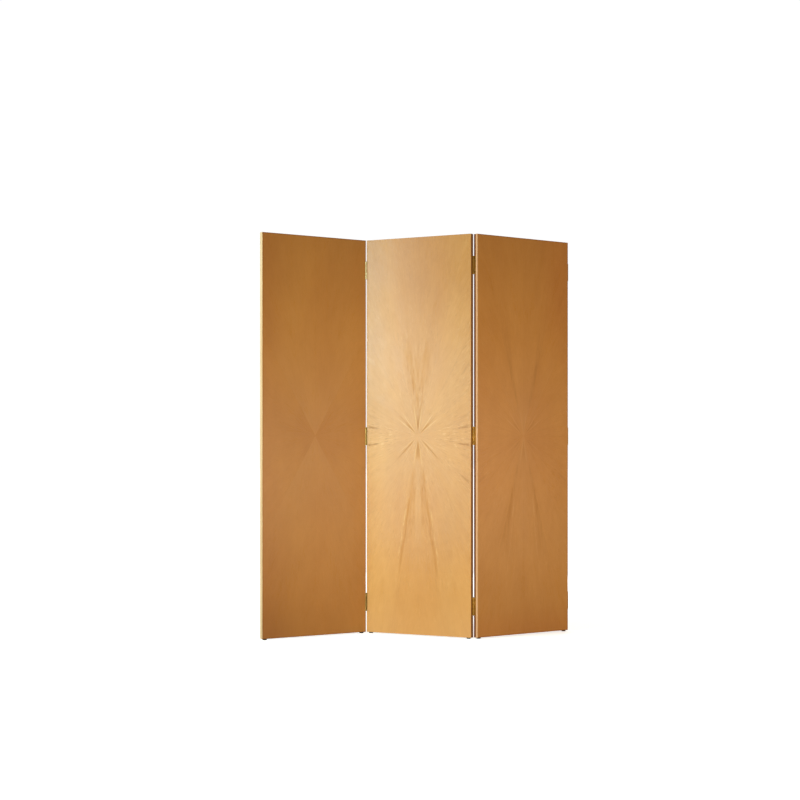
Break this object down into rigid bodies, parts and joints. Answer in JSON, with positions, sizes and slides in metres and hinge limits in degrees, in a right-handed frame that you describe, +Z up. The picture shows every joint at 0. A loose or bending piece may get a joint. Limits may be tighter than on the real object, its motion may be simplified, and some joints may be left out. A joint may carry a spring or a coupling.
{
  "type": "folding screen",
  "caption": "Free-standing folding screen of rigid wood panels veneered in a sunburst match, hinged edge to edge with brass butt hinges and standing on small floor glides.",
  "frame": {"origin": "middle of the bounding box of the standing screen, on the floor plane under the glides", "axes": "+Z up, +X to the right along the screen seen from its front, +Y from the front to the back"},
  "size_m": [1.3118, 0.3654, 1.7],
  "materials": {
    "sunburst_veneer": "satin lacquered honey oak veneer, grain radiating from the panel centre",
    "edge_lipping": "satin lacquered pale oak, long grain",
    "core_board": "raw blockboard, hidden",
    "hinge_brass": "satin, lightly aged",
    "hinge_pin": "satin, lightly aged",
    "hinge_screw": "satin, slotted countersunk",
    "glide": "matte dark olive-black nylon",
    "glide_screw": "zinc plated"
  },
  "bodies": {
    "center_panel": {"center_core_board": "core_board", "center_glide_screws": "glide_screw", "center_glides": "glide", "center_lipping_bottom": "edge_lipping", "center_lipping_left": "edge_lipping", "center_lipping_right": "edge_lipping", "center_lipping_top": "edge_lipping", "center_veneer_back": "sunburst_veneer", "center_veneer_front": "sunburst_veneer", "left_hinge_bottom_pin": "hinge_pin", "left_hinge_bottom_pin_leaf": "hinge_brass", "left_hinge_middle_pin": "hinge_pin", "left_hinge_middle_pin_leaf": "hinge_brass", "left_hinge_pin_leaf_screws": "hinge_screw", "left_hinge_top_pin": "hinge_pin", "left_hinge_top_pin_leaf": "hinge_brass", "right_hinge_bottom_pin": "hinge_pin", "right_hinge_bottom_pin_leaf": "hinge_brass", "right_hinge_middle_pin": "hinge_pin", "right_hinge_middle_pin_leaf": "hinge_brass", "right_hinge_pin_leaf_screws": "hinge_screw", "right_hinge_top_pin": "hinge_pin", "right_hinge_top_pin_leaf": "hinge_brass"},
    "left_panel": {"left_core_board": "core_board", "left_glide_screws": "glide_screw", "left_glides": "glide", "left_hinge_bottom_swing_leaf": "hinge_brass", "left_hinge_middle_swing_leaf": "hinge_brass", "left_hinge_swing_screws": "hinge_screw", "left_hinge_top_swing_leaf": "hinge_brass", "left_lipping_bottom": "edge_lipping", "left_lipping_left": "edge_lipping", "left_lipping_right": "edge_lipping", "left_lipping_top": "edge_lipping", "left_veneer_back": "sunburst_veneer", "left_veneer_front": "sunburst_veneer"},
    "right_panel": {"free_edge_bottom_plate": "hinge_brass", "free_edge_middle_plate": "hinge_brass", "free_edge_plate_screws": "hinge_screw", "free_edge_top_plate": "hinge_brass", "right_core_board": "core_board", "right_glide_screws": "glide_screw", "right_glides": "glide", "right_hinge_bottom_swing_leaf": "hinge_brass", "right_hinge_middle_swing_leaf": "hinge_brass", "right_hinge_swing_screws": "hinge_screw", "right_hinge_top_swing_leaf": "hinge_brass", "right_lipping_bottom": "edge_lipping", "right_lipping_left": "edge_lipping", "right_lipping_right": "edge_lipping", "right_lipping_top": "edge_lipping", "right_veneer_back": "sunburst_veneer", "right_veneer_front": "sunburst_veneer"}
  },
  "joints": [
    {"name": "left_fold", "type": "hinge", "parent": "center_panel", "child": "left_panel", "pos_m": [-0.22457, 0.0919, 0.8525], "axis": [0, 0, 1], "range_deg": [-65.83, 120.17]},
    {"name": "right_fold", "type": "hinge", "parent": "center_panel", "child": "right_panel", "pos_m": [0.23582, -0.11202, 0.8525], "axis": [0, 0, 1], "range_deg": [-68.59, 117.41]}
  ]
}
